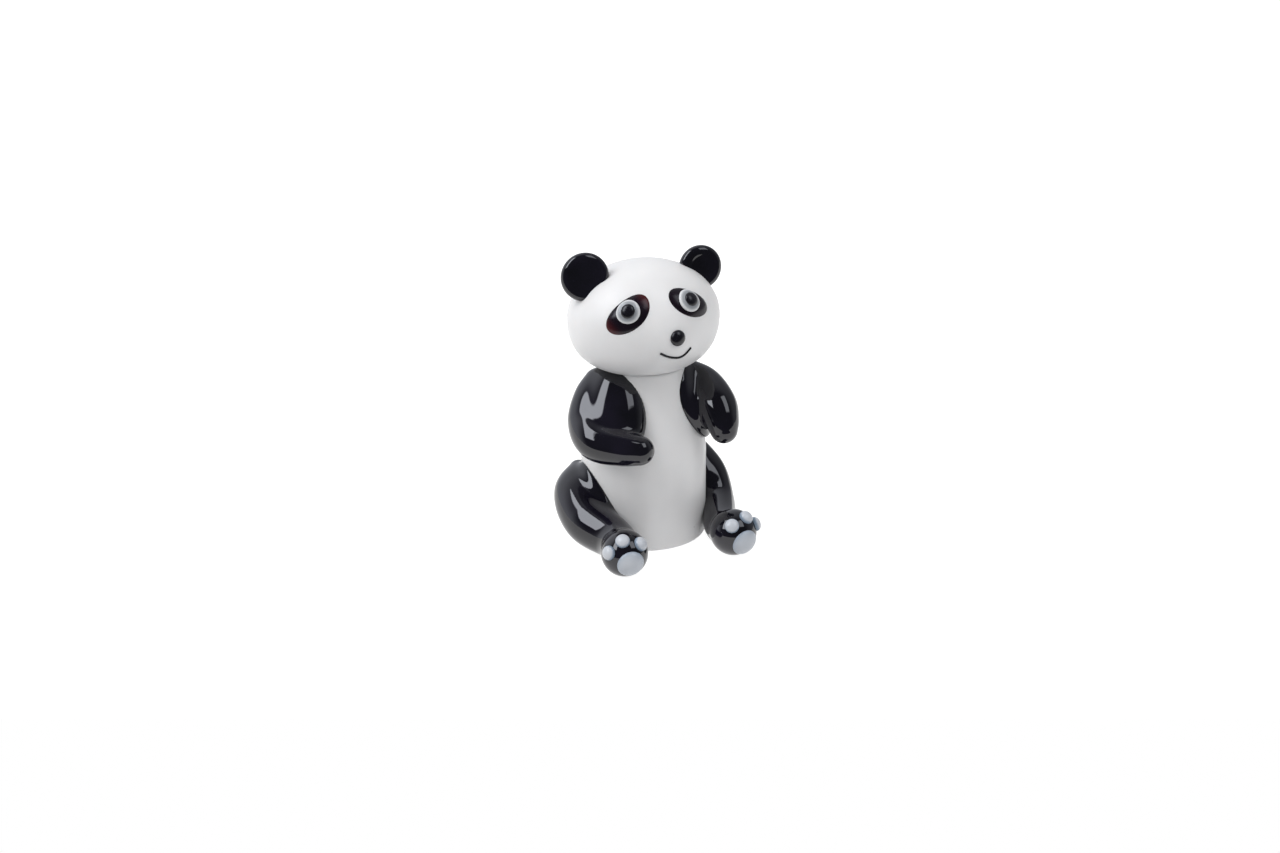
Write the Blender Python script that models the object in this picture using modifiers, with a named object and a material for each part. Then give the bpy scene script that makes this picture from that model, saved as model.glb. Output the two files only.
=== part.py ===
# Sitting panda figurine in lampworked glass, in metres.
# Each gather of coloured glass is a solid of its own, seated against its neighbour with a small gap.
# The panda looks along -Y, its left is +X, and the origin is the middle of its flat base.

import math

import bmesh
import bpy
from mathutils import Matrix, Vector

# Gap between two gathers that are fused together in the real figurine
GAP = 0.0003

# Torso: a turned body, straight below and drawn in to the neck
TORSO_RADIUS = 0.01275
TORSO_STRAIGHT = 0.0175
TORSO_HEIGHT = 0.0365
NECK_RADIUS = 0.0086
BASE_EDGE = 0.0008

# Head: an egg, wider than deep, full in the cheeks and drawn forwards at the muzzle
HEAD_WIDTH = 0.0312
HEAD_DEPTH = 0.0264
HEAD_HEIGHT = 0.0230
HEAD_SINK = 0.0017
HEAD_TURN = -3.0
CHEEK_FULLNESS = 0.22
MUZZLE = (6.0, -14.0)
MUZZLE_REACH = 0.0016
MUZZLE_SPREAD = 0.0042

# Ears: dished discs; the angle is above level, seen from the front, and stand is how far the middle is out
EAR_THICKNESS = 0.0024
EAR_DISH = 0.0004
EARS = {
    "right": {"angle": 142.0, "stand": 0.0024, "radius": 0.0049, "facing": (-9.0, 8.0)},
    "left": {"angle": 34.8, "stand": 0.0012, "radius": 0.0045, "facing": (-3.0, 8.0)},
}

# Places on the head are azimuth and latitude in degrees, and azimuth grows to the panda's left
PATCH_HEIGHT = 0.0011
PATCH_PROUD = 0.0006
EYE_RADIUS = 0.0023
EYE_HEIGHT = 0.0007
PUPIL_RADIUS = 0.0013
PUPIL_HEIGHT = 0.0006
EYES = {
    "right": {"patch": (-29.3, 23.6), "eye": (-29.6, 25.8), "long": 0.0057, "short": 0.0035, "slant": 45.0},
    "left": {"patch": (25.2, 29.4), "eye": (24.1, 30.5), "long": 0.0053, "short": 0.0033, "slant": -32.0},
}
NOSE = (7.2, -0.6)
NOSE_RADIUS = 0.0016
NOSE_HEIGHT = 0.0009
MOUTH = ((-6.2, -15.0), (-0.5, -19.3), (5.6, -22.0), (10.0, -22.6), (14.2, -20.6), (19.6, -14.2))
MOUTH_RADIUS = 0.00026

# Limbs: rows of azimuth round the torso, height as a share of the torso's, how far the middle of the
# limb is out from the torso's own side, and the limb's radius there, both as shares of the torso's radius
ARMS = {
    "right": (
        (-93.0, 0.915, 0.0784, 0.2118),
        (-86.0, 0.843, 0.2118, 0.251),
        (-76.0, 0.735, 0.2745, 0.298),
        (-60.0, 0.668, 0.3294, 0.3137),
        (-40.0, 0.650, 0.3059, 0.2824),
        (-26.0, 0.641, 0.2902, 0.2353),
    ),
    "left": (
        (82.0, 0.906, -0.0235, 0.2431),
        (70.0, 0.855, 0.2275, 0.2902),
        (54.0, 0.782, 0.3843, 0.3216),
        (46.0, 0.718, 0.4706, 0.2667),
        (43.6, 0.670, 0.4784, 0.2196),
    ),
}
LEGS = {
    "right": (
        (-110.0, 0.352, 0.0314, 0.1804),
        (-93.3, 0.267, 0.1569, 0.3373),
        (-69.3, 0.174, 0.2275, 0.3765),
        (-42.7, 0.129, 0.3765, 0.3294),
    ),
    "left": (
        (108.3, 0.403, 0.0471, 0.2039),
        (91.0, 0.270, 0.1647, 0.2745),
        (74.0, 0.140, 0.2039, 0.2745),
        (40.0, 0.104, 0.3922, 0.2706),
    ),
}
ANKLE_SHARE = 0.79

# Roots: where a limb's hot glass was pressed flat against the torso and took its curve; high is a share
# of the torso's height, wide and thick are shares of its radius, and lean is how far the lump moves to
# the panda's left and sags for each step that it stands out
ARM_ROOTS = {
    "right": {
        "place": (-57.0, 0.800), "wide": 0.4549, "high": 0.2521,
        "thick": 0.4863, "slant": 32.0, "lean": (-0.2, 0.42),
    },
    "left": {
        "place": (67.0, 0.790), "wide": 0.5333, "high": 0.2192,
        "thick": 0.1725, "slant": -16.0, "lean": (0.0, 0.8),
    },
}
LEG_ROOTS = {
    "right": {
        "place": (-77.5, 0.226), "wide": 0.4157, "high": 0.2466,
        "thick": 0.1725, "slant": 38.0, "lean": (0.0, 0.0),
    },
    "left": {
        "place": (95.0, 0.250), "wide": 0.3529, "high": 0.1918,
        "thick": 0.2196, "slant": -30.0, "lean": (0.0, 0.0),
    },
}

# Feet: balls that rest on the ground, with a pad and three toes on each sole; reach is how far a ball's
# middle is out from the torso's side, as a share of its radius, and the ankle is a share of the ball's
FOOT_RADIUS = 0.0047
SOLE_PAD_RADIUS = 0.0029
SOLE_PAD_HEIGHT = 0.0007
TOE_RADIUS = 0.00145
TOE_HEIGHT = 0.0011
FEET = {
    "right": {
        "azimuth": -32.1,
        "reach": 0.8549,
        "pad": (-5.3, -9.5),
        "toes": ((-66.9, 18.1), (-30.8, 53.4), (34.0, 37.3)),
    },
    "left": {
        "azimuth": 31.1,
        "reach": 0.7529,
        "pad": (10.5, -12.0),
        "toes": ((-29.5, 38.4), (37.6, 53.3), (73.2, 19.0)),
    },
}

# Colours of the glass
BLACK = (0.006, 0.006, 0.008)
AUBERGINE = (0.016, 0.005, 0.008)
WHITE = (0.85, 0.85, 0.85)
EYE_WHITE = (0.70, 0.71, 0.72)
PALE_GREY = (0.52, 0.56, 0.62)

# Facets round the turned and rounded forms
TORSO_SIDES = 36
HEAD_SIDES = 32
HEAD_RINGS = 18
EAR_SIDES = 24
FOOT_SIDES = 18
ROOT_SIDES = 16
ROOT_RINGS = 8


def clear_scene():
    for old in list(bpy.data.objects):
        bpy.data.objects.remove(old)


def new_collection(name):
    made = bpy.data.collections.new(name)
    bpy.context.scene.collection.children.link(made)
    return made


def glass(name, colour, roughness):
    made = bpy.data.materials.new(name)
    made.use_nodes = True
    shader = made.node_tree.nodes["Principled BSDF"]
    shader.inputs["Base Color"].default_value = (*colour, 1.0)
    shader.inputs["Roughness"].default_value = roughness
    shader.inputs["Metallic"].default_value = 0.0
    return made


def direction(azimuth, latitude):
    """Unit vector: azimuth 0 is forwards along -Y, and 90 is the panda's left."""
    a = math.radians(azimuth)
    b = math.radians(latitude)
    return Vector((math.sin(a) * math.cos(b), -math.cos(a) * math.cos(b), math.sin(b)))


def facing(point, normal, spin=0.0):
    """A place at the point with Z along the normal and X level, then spun about the normal."""
    out = normal.normalized()
    level = Vector((0.0, 0.0, 1.0)).cross(out).normalized()
    turned = Matrix((level, out.cross(level), out)).transposed().to_4x4()
    return Matrix.Translation(point) @ turned @ Matrix.Rotation(math.radians(spin), 4, "Z")


def smooth_rows(rows, count):
    """Rows of numbers read from a Catmull-Rom curve through the given rows."""
    before = [2 * a - b for a, b in zip(rows[0], rows[1])]
    after = [2 * a - b for a, b in zip(rows[-1], rows[-2])]
    padded = [before, *rows, after]
    spans = len(rows) - 1
    made = []
    for i in range(count + 1):
        span = min(spans * i // count, spans - 1)
        t = spans * i / count - span
        weights = (
            0.5 * (-t + 2 * t**2 - t**3),
            0.5 * (2 - 5 * t**2 + 3 * t**3),
            0.5 * (t + 4 * t**2 - 3 * t**3),
            0.5 * (-(t**2) + t**3),
        )
        near = padded[span : span + 4]
        made.append([sum(w * row[k] for w, row in zip(weights, near)) for k in range(len(rows[0]))])
    return made


def add_solid(name, shape, group, material):
    """Links a bmesh as one of the figurine's gathers."""
    mesh = bpy.data.meshes.new(name)
    shape.to_mesh(mesh)
    shape.free()
    mesh.shade_smooth()
    mesh.materials.append(material)
    made = bpy.data.objects.new(name, mesh)
    group.objects.link(made)
    return made


def add_cutter(name, shape, group, material):
    """Links a bmesh that only cuts or joins another solid."""
    made = add_solid(name, shape, group, material)
    made.hide_render = True
    made.display_type = "WIRE"
    return made


def combine(target, operation, *others):
    for other in others:
        step = target.modifiers.new(f"{operation.lower()} {other.name}", "BOOLEAN")
        step.operation = operation
        step.solver = "EXACT"
        step.object = other


def profile_edges(profile):
    """A profile of radius and height, as edges in the XZ plane for a Screw modifier to turn."""
    shape = bmesh.new()
    corners = [shape.verts.new((radius, 0.0, height)) for radius, height in profile]
    for first, second in zip(corners, corners[1:]):
        shape.edges.new((first, second))
    return shape


def turn_profile(made, steps):
    screw = made.modifiers.new("turn", "SCREW")
    screw.steps = steps
    screw.render_steps = steps
    screw.use_merge_vertices = True
    screw.merge_threshold = 0.000001
    screw.use_smooth_shade = True


def sphere_shape(radii, place, sides, rings):
    shape = bmesh.new()
    bmesh.ops.create_uvsphere(shape, u_segments=sides, v_segments=rings, radius=1.0)
    bmesh.ops.transform(shape, matrix=place @ Matrix.Diagonal((*radii, 1.0)), verts=shape.verts)
    return shape


def tube_shape(name, points, radii, resolution):
    """A bevelled curve of changing radius, made a mesh with its caps welded on."""
    curve = bpy.data.curves.new(name, "CURVE")
    curve.dimensions = "3D"
    curve.bevel_depth = 1.0
    curve.bevel_resolution = resolution
    curve.use_fill_caps = True
    spline = curve.splines.new("POLY")
    spline.points.add(len(points) - 1)
    for target, point, radius in zip(spline.points, points, radii):
        target.co = (*point, 1.0)
        target.radius = radius
    route = bpy.data.objects.new(name, curve)
    bpy.context.scene.collection.objects.link(route)
    mesh = bpy.data.meshes.new_from_object(route.evaluated_get(bpy.context.evaluated_depsgraph_get()))
    shape = bmesh.new()
    shape.from_mesh(mesh)
    bmesh.ops.remove_doubles(shape, verts=shape.verts, dist=0.000001)
    bmesh.ops.recalc_face_normals(shape, faces=shape.faces)
    bpy.data.objects.remove(route)
    bpy.data.meshes.remove(mesh)
    return shape


def torso_radius(height):
    """Straight below, then half a cosine wave in to the neck."""
    share = (height - TORSO_STRAIGHT) / (TORSO_HEIGHT - TORSO_STRAIGHT)
    share = min(max(share, 0.0), 1.0)
    return TORSO_RADIUS + (NECK_RADIUS - TORSO_RADIUS) * (0.5 - 0.5 * math.cos(math.pi * share))


def torso_profile(grow, rows=8, edge_rows=2):
    """The torso's outer side from top to bottom, grown by a gap, and closed at the axis."""
    points = []
    for i in range(rows + 1):
        height = TORSO_HEIGHT - (TORSO_HEIGHT - BASE_EDGE) * i / rows
        points.append((torso_radius(height) + grow, height))
    for i in range(1, edge_rows + 1):
        turn = math.radians(90.0 * i / edge_rows)
        radius = TORSO_RADIUS - BASE_EDGE + (BASE_EDGE + grow) * math.cos(turn)
        points.append((radius, BASE_EDGE - (BASE_EDGE + grow) * math.sin(turn)))
    top = TORSO_HEIGHT + grow
    return [(0.0, top), (points[0][0], top), *points[1:], (0.0, points[-1][1])]


def beside_torso(azimuth, height, reach):
    """A point so far out from the torso's own side."""
    flat = direction(azimuth, 0.0) * (torso_radius(height) + reach)
    return Vector((flat.x, flat.y, height))


def head_centre():
    return Vector((0.0, 0.0, TORSO_HEIGHT - HEAD_SINK + HEAD_HEIGHT / 2))


def head_point(azimuth, latitude):
    """The egg's surface: fuller with depth below the widest line, plus a rounded muzzle in front."""
    unit = direction(azimuth, latitude)
    full = 1.0 + CHEEK_FULLNESS * min(unit.z, 0.0) ** 2
    point = Vector((unit.x * full * HEAD_WIDTH, unit.y * full * HEAD_DEPTH, unit.z * HEAD_HEIGHT)) / 2
    middle = direction(*MUZZLE)
    across = point.x - middle.x * HEAD_WIDTH / 2
    above = point.z - middle.z * HEAD_HEIGHT / 2
    swell = math.exp(-(across**2 + above**2) / (2 * MUZZLE_SPREAD**2))
    point.y -= MUZZLE_REACH * swell * max(-unit.y, 0.0)
    return Matrix.Rotation(math.radians(HEAD_TURN), 3, "Z") @ point + head_centre()


def head_frame(azimuth, latitude, step=1.0):
    """Movement along the head for one degree east and one degree north, and the normal there."""
    east = (head_point(azimuth + step, latitude) - head_point(azimuth - step, latitude)) / (2 * step)
    north = (head_point(azimuth, latitude + step) - head_point(azimuth, latitude - step)) / (2 * step)
    return east, north, east.cross(north).normalized()


def head_shape(grow):
    """A sphere primitive with each vertex moved out to the egg, then grown by a gap."""
    shape = bmesh.new()
    bmesh.ops.create_uvsphere(shape, u_segments=HEAD_SIDES, v_segments=HEAD_RINGS, radius=1.0)
    for vertex in shape.verts:
        latitude = math.degrees(math.asin(max(-1.0, min(vertex.co.z, 1.0))))
        azimuth = math.degrees(math.atan2(vertex.co.x, -vertex.co.y))
        vertex.co = head_point(azimuth, latitude)
    shape.normal_update()
    for vertex in shape.verts:
        vertex.co += vertex.normal * grow
    return shape


def drop_on_head(radii, place, slant, lift, sides, rings):
    """A flat drop of glass that follows the head's curve, its middle lifted off the surface."""
    shape = sphere_shape(radii, Matrix.Rotation(math.radians(slant), 4, "Z"), sides, rings)
    east, north, normal = head_frame(*place)
    for vertex in shape.verts:
        azimuth = place[0] + vertex.co.x / east.length
        latitude = place[1] + vertex.co.y / north.length
        normal = head_frame(azimuth, latitude)[2]
        vertex.co = head_point(azimuth, latitude) + normal * (vertex.co.z + lift)
    return shape


class Figurine:
    """The collections and glasses that every gather is added to."""

    def __init__(self):
        self.pieces = new_collection("panda figurine")
        self.cutters = new_collection("cutters")
        self.black = glass("black glass", BLACK, 0.04)
        self.aubergine = glass("aubergine glass", AUBERGINE, 0.04)
        self.white = glass("white glass", WHITE, 0.12)
        self.eye_white = glass("eye white glass", EYE_WHITE, 0.12)
        self.grey = glass("pale grey glass", PALE_GREY, 0.12)

    def solid(self, name, shape, material):
        return add_solid(name, shape, self.pieces, material)

    def cutter(self, name, shape):
        return add_cutter(name, shape, self.cutters, self.black)

    def seat(self, name, host, material, shape_of, radii):
        """A drop in a socket of its host: the same shape, and the same again with the gap added."""
        drop = self.solid(name, shape_of(radii), material)
        socket = self.cutter(f"{name} socket", shape_of([radius + GAP for radius in radii]))
        combine(host, "DIFFERENCE", socket)
        return drop


def add_torso(figurine, head_space):
    torso = figurine.solid("torso", profile_edges(torso_profile(0.0)), figurine.white)
    turn_profile(torso, TORSO_SIDES)
    combine(torso, "DIFFERENCE", head_space)


def ear_profile(radius, rim_rows=6, face_rows=3):
    """A disc with a round rim and a shallow dish in its front, from the front to the back."""
    half = EAR_THICKNESS / 2
    flat = radius - half
    points = []
    for i in range(face_rows):
        share = i / face_rows
        points.append((flat * share, half - EAR_DISH * (1.0 - share**2)))
    for i in range(rim_rows + 1):
        turn = math.radians(180.0 * i / rim_rows)
        points.append((flat + half * math.sin(turn), half * math.cos(turn)))
    return [*points, (0.0, -half)]


def add_ear(figurine, side, head_space):
    ear = EARS[side]
    angle = math.radians(ear["angle"])
    across = math.cos(angle)
    up = math.sin(angle)
    to_surface = 1.0 / math.hypot(2 * across / HEAD_WIDTH, 2 * up / HEAD_HEIGHT)
    middle = head_centre() + Vector((across, 0.0, up)) * (to_surface + ear["stand"])
    made = figurine.solid(f"ear_{side}", profile_edges(ear_profile(ear["radius"])), figurine.black)
    turn_profile(made, EAR_SIDES)
    made.matrix_world = facing(middle, direction(*ear["facing"]))
    combine(made, "DIFFERENCE", head_space)


def limb_rows(rows, last=None):
    """Points and radii along a limb, from its rows beside the torso and an end point of its own."""
    stations = []
    for azimuth, share, reach, radius in rows:
        place = beside_torso(azimuth, share * TORSO_HEIGHT, reach * TORSO_RADIUS)
        stations.append([*place, radius * TORSO_RADIUS])
    if last:
        stations.append(last)
    return stations


def limb_shape(name, stations, steps=12, end_steps=4):
    """A round-ended limb whose radius changes smoothly along a smooth path."""
    rows = smooth_rows(stations, steps)
    points = [Vector(row[:3]) for row in rows]
    radii = [row[3] for row in rows]
    ends = []
    for end, inner in ((0, 1), (-1, -2)):
        way = (points[end] - points[inner]).normalized()
        ring = []
        for i in range(1, end_steps):
            turn = math.radians(90.0 * i / (end_steps - 0.5))
            ring.append((points[end] + way * radii[end] * math.sin(turn), radii[end] * math.cos(turn)))
        ends.append(ring)
    start = ends[0][::-1]
    all_rows = [*start, *zip(points, radii), *ends[1]]
    return tube_shape(name, [row[0] for row in all_rows], [row[1] for row in all_rows], 4)


def root_shape(root):
    """A flat lump that follows the torso's curve, like a drop pressed on to it."""
    radii = (root["wide"] * TORSO_RADIUS, root["high"] * TORSO_HEIGHT, root["thick"] * TORSO_RADIUS)
    shape = sphere_shape(radii, Matrix.Rotation(math.radians(root["slant"]), 4, "Z"), ROOT_SIDES, ROOT_RINGS)
    azimuth, share = root["place"]
    aside, sag = root["lean"]
    for vertex in shape.verts:
        out = vertex.co.z
        height = share * TORSO_HEIGHT + vertex.co.y - sag * out
        turn = math.degrees((vertex.co.x + aside * out) / torso_radius(height))
        vertex.co = beside_torso(azimuth + turn, height, out)
    return shape


def add_arm(figurine, side, torso_space, head_space):
    arm = figurine.solid(f"arm_{side}", limb_shape("arm", limb_rows(ARMS[side])), figurine.black)
    root = figurine.cutter(f"arm root {side}", root_shape(ARM_ROOTS[side]))
    combine(arm, "UNION", root)
    combine(arm, "DIFFERENCE", head_space, torso_space)


def foot_centre(side):
    flat = direction(FEET[side]["azimuth"], 0.0) * TORSO_RADIUS * (1.0 + FEET[side]["reach"])
    return Vector((flat.x, flat.y, FOOT_RADIUS))


def add_leg(figurine, side, torso_space):
    centre = foot_centre(side)
    stations = limb_rows(LEGS[side], [*centre, FOOT_RADIUS * ANKLE_SHARE])
    leg = figurine.solid(f"leg_{side}", limb_shape("leg", stations), figurine.black)
    root = figurine.cutter(f"leg root {side}", root_shape(LEG_ROOTS[side]))
    ball_shape = sphere_shape([FOOT_RADIUS] * 3, Matrix.Translation(centre), FOOT_SIDES, FOOT_SIDES // 2 + 1)
    ball = figurine.cutter(f"foot ball {side}", ball_shape)
    combine(leg, "UNION", root, ball)
    combine(leg, "DIFFERENCE", torso_space)
    return leg


def drop_on_ball(radii, centre, place, sides):
    """A flat drop of glass that follows the foot's ball where its direction points."""
    shape = sphere_shape(radii, Matrix(), sides, 6)
    towards = facing(centre, direction(*place))
    for vertex in shape.verts:
        across = Vector((vertex.co.x, vertex.co.y, 0.0))
        turn = across.length / FOOT_RADIUS
        out = across.normalized() * math.sin(turn) + Vector((0.0, 0.0, math.cos(turn)))
        vertex.co = towards @ (out * (FOOT_RADIUS + vertex.co.z))
    return shape


def add_sole(figurine, side, leg):
    """A broad pad and three toes, each in a socket of the ball."""
    centre = foot_centre(side)

    def seated(place, sides):
        return lambda radii: drop_on_ball(radii, centre, place, sides)

    pad_radii = [SOLE_PAD_RADIUS, SOLE_PAD_RADIUS, SOLE_PAD_HEIGHT]
    figurine.seat(f"sole_pad_{side}", leg, figurine.grey, seated(FEET[side]["pad"], 16), pad_radii)
    toe_radii = [TOE_RADIUS, TOE_RADIUS, TOE_HEIGHT]
    for number, place in enumerate(FEET[side]["toes"], 1):
        figurine.seat(f"toe_{side}_{number}", leg, figurine.grey, seated(place, 12), toe_radii)


def add_eye(figurine, side, head):
    """A dark patch, a white drop on it, and a pupil on that."""
    eye = EYES[side]

    def laid(place, slant, lift, sides, rings):
        return lambda radii: drop_on_head(radii, place, slant, lift, sides, rings)

    patch_laid = laid(eye["patch"], eye["slant"], PATCH_PROUD - PATCH_HEIGHT, 20, 6)
    patch_radii = [eye["long"], eye["short"], PATCH_HEIGHT]
    patch = figurine.seat(f"eye_patch_{side}", head, figurine.aubergine, patch_laid, patch_radii)
    white_radii = [EYE_RADIUS, EYE_RADIUS, EYE_HEIGHT]
    white_laid = laid(eye["eye"], 0.0, PATCH_PROUD, 16, 6)
    white = figurine.seat(f"eye_white_{side}", patch, figurine.eye_white, white_laid, white_radii)
    pupil_radii = [PUPIL_RADIUS, PUPIL_RADIUS, PUPIL_HEIGHT]
    pupil_laid = laid(eye["eye"], 0.0, PATCH_PROUD + EYE_HEIGHT, 12, 6)
    figurine.seat(f"pupil_{side}", white, figurine.black, pupil_laid, pupil_radii)


def add_nose(figurine, head):
    def lay(size):
        return drop_on_head(size, NOSE, 0.0, 0.0, 12, 6)

    figurine.seat("nose", head, figurine.black, lay, [NOSE_RADIUS, NOSE_RADIUS, NOSE_HEIGHT])


def add_mouth(figurine, head, count=12):
    """A thread laid half into the face along a smile, and the groove that it lies in."""
    points = [head_point(*row) for row in smooth_rows(MOUTH, count)]
    radii = [MOUTH_RADIUS] * len(points)
    figurine.solid("mouth", tube_shape("mouth", points, radii, 2), figurine.black)
    first = points[0] + (points[0] - points[1]).normalized() * GAP
    last = points[-1] + (points[-1] - points[-2]).normalized() * GAP
    groove_points = [first, *points, last]
    groove_radii = [MOUTH_RADIUS + GAP] * len(groove_points)
    groove = figurine.cutter("mouth groove", tube_shape("groove", groove_points, groove_radii, 2))
    combine(head, "DIFFERENCE", groove)


def main():
    clear_scene()
    figurine = Figurine()
    torso_space = figurine.cutter("torso space", profile_edges(torso_profile(GAP)))
    turn_profile(torso_space, TORSO_SIDES)
    head_space = figurine.cutter("head space", head_shape(GAP))
    add_torso(figurine, head_space)
    head = figurine.solid("head", head_shape(0.0), figurine.white)
    for side in ("right", "left"):
        add_ear(figurine, side, head_space)
        add_arm(figurine, side, torso_space, head_space)
        leg = add_leg(figurine, side, torso_space)
        add_sole(figurine, side, leg)
        add_eye(figurine, side, head)
    add_nose(figurine, head)
    add_mouth(figurine, head)


main()
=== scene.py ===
import math

import bpy
import numpy as np
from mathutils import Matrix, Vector


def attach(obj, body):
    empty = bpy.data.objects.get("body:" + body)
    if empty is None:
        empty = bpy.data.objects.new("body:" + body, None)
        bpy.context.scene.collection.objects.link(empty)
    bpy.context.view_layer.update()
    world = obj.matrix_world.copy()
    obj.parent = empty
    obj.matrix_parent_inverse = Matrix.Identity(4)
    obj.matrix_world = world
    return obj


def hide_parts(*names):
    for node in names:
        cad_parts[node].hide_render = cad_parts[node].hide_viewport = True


# Sitting panda in lampworked glass. Metres, looks along -Y, its left is +X, stands on z = 0.
# Azimuth 0 is forwards and 90 the panda's left; every gather of glass is a piece of its own.

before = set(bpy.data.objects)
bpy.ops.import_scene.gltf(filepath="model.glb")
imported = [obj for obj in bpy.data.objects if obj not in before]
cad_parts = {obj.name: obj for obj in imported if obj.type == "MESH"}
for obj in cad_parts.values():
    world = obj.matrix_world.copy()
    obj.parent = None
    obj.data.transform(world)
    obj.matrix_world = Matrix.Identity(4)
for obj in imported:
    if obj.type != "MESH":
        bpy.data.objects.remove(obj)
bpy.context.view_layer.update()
print("frame loaded:", len(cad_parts), "solids")


# Arrays and meshes


def direction(azimuth, latitude):
    # unit vectors from azimuth and latitude in degrees
    a, b = np.radians(azimuth), np.radians(latitude)
    return np.stack([np.sin(a) * np.cos(b), -np.cos(a) * np.cos(b), np.sin(b) + 0 * a], -1)


def unit(vectors):
    return vectors / np.linalg.norm(vectors, axis=-1, keepdims=True)


def smoothRows(rows, count):
    # Catmull-Rom curve through rows of numbers, as count + 1 rows:
    # each is a cubic mix of its four nearest given rows, with the ends carried on straight
    rows = np.array(rows, float)
    padded = np.concatenate([[2 * rows[0] - rows[1]], rows, [2 * rows[-1] - rows[-2]]])
    where = np.linspace(0, len(rows) - 1, count + 1)
    span = np.minimum(where.astype(int), len(rows) - 2)
    t = (where - span)[:, None]
    return (
        padded[span] * (-t + 2 * t**2 - t**3)
        + padded[span + 1] * (2 - 5 * t**2 + 3 * t**3)
        + padded[span + 2] * (t + 4 * t**2 - 3 * t**3)
        + padded[span + 3] * (-(t**2) + t**3)
    ) / 2


def onGrid(function, columns, rows):
    # function(u, v) as a list, for u once round and v from the lower pole to the upper; a pole counts once
    u, v = np.meshgrid(np.arange(columns) / columns, np.linspace(0, 1, rows + 1))
    grid = function(u, v)
    return np.concatenate([grid[0, :1], grid[1:-1].reshape(-1, *grid.shape[2:]), grid[-1, :1]])


def closedGrid(surface, columns, rows):
    # the surface's points with a four-sided face in each cell, and triangles round each pole
    points = onGrid(surface, columns, rows)
    ring = 1 + np.arange((rows - 1) * columns).reshape(rows - 1, columns)
    after = np.roll(ring, -1, axis=1)
    quads = np.stack([ring[:-1], after[:-1], after[1:], ring[1:]], -1).reshape(-1, 4)
    lower = np.stack([np.zeros(columns, int), after[0], ring[0]], -1)
    upper = np.stack([ring[-1], after[-1], np.full(columns, len(points) - 1)], -1)
    return points, quads.tolist() + lower.tolist() + upper.tolist()


def addPiece(node, points, faces, material, slotName, values=None):
    # one gather of glass: mesh from arrays, smooth shaded, in place of its CAD solid
    mesh = bpy.data.meshes.new(node + "_glass")
    mesh.from_pydata(points.tolist(), [], faces)
    mesh.shade_smooth()
    for name, numbers in (values or {}).items():
        mesh.attributes.new(name, "FLOAT", "POINT").data.foreach_set("value", numbers.astype(np.float32))
    mesh.materials.append(material)
    piece = bpy.data.objects.new(node + "_glass", mesh)
    bpy.context.scene.collection.objects.link(piece)
    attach(piece, "root")
    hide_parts(node)
    return piece


# Glass materials

glassPattern = {
    "swirlScale": 130.0,
    "swirlTwist": 0.005,
    "pushScale": 90.0,
    "streakRange": (0.32, 0.68),  # the streak noise's values that become 0 and 1
    "speckScale": 300.0,
    "speckCore": (0.05, 0.09),  # a speck's full core and its rim, in cells
    "edgeStart": 0.2,
    "edgeEnd": 0.8,
    "seedRadii": (0.00008, 0.00020),  # a seed's dark core, and where it has faded out
    "seedStrength": 0.7,
    "scatter": (0.0016, 0.0014, 0.0013),
}


def newGroup(name, vectors, floats, output):
    # a shader group with vector inputs, number inputs and one number as its output
    group = bpy.data.node_groups.new(name, "ShaderNodeTree")
    for labels, kind in ((vectors, "NodeSocketVector"), (floats, "NodeSocketFloat")):
        for label in labels:
            group.interface.new_socket(name=label, in_out="INPUT", socket_type=kind)
    group.interface.new_socket(name=output, in_out="OUTPUT", socket_type="NodeSocketFloat")
    given = group.nodes.new("NodeGroupInput").outputs
    result = group.nodes.new("NodeGroupOutput").inputs[output]
    return group, given, result


def addNode(tree, kind, settings=None, **inputs):
    # a node with its settings; each input is named, or numbered after a _, and is a value or a socket
    node = tree.nodes.new(kind)
    for name, value in (settings or {}).items():
        setattr(node, name, value)
    for name, value in inputs.items():
        numbered = name[0] == "_" and name[1:].isdigit()
        socket = node.inputs[int(name[1:]) if numbered else name.replace("_", " ")]
        if isinstance(value, bpy.types.NodeSocket):
            tree.links.new(value, socket)
        else:
            socket.default_value = value
    return node


def mixColours(tree, share, first, second):
    # from the first colour to the second as the share goes from 0 to 1
    return addNode(tree, "ShaderNodeMix", {"data_type": "RGBA"}, _0=share, _6=first, _7=second).outputs[2]


def mixLevels(tree, share, first, second):
    return addNode(tree, "ShaderNodeMix", _0=share, _2=first, _3=second).outputs[0]


def vectorMaths(tree, operation, **inputs):
    return addNode(tree, "ShaderNodeVectorMath", {"operation": operation}, **inputs).outputs


def maths(tree, operation, a, b, clamp=False):
    settings = {"operation": operation, "use_clamp": clamp}
    return addNode(tree, "ShaderNodeMath", settings, _0=a, _1=b).outputs[0]


def noise(tree, place, scale, detail, roughness=0.5):
    made = addNode(tree, "ShaderNodeTexNoise", Vector=place, Scale=scale, Detail=detail, Roughness=roughness)
    return made.outputs


def makeSwirl():
    # streaks of gathered glass: noise whose coordinates another noise has pushed about
    group, given, mask = newGroup("glass swirl", ["Vector"], ["Scale", "Twist"], "Mask")
    push = noise(group, given["Vector"], glassPattern["pushScale"], 1.0)["Color"]
    centred = vectorMaths(group, "SUBTRACT", _0=push, _1=(0.5, 0.5, 0.5))[0]
    scaled = vectorMaths(group, "SCALE", _0=centred, Scale=given["Twist"])[0]
    moved = vectorMaths(group, "ADD", _0=given["Vector"], _1=scaled)[0]
    streak = noise(group, moved, given["Scale"], 3.0, 0.45)[0]
    low, high = glassPattern["streakRange"]
    spread = addNode(group, "ShaderNodeMapRange", Value=streak, From_Min=low, From_Max=high)
    group.links.new(spread.outputs[0], mask)
    return group


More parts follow.
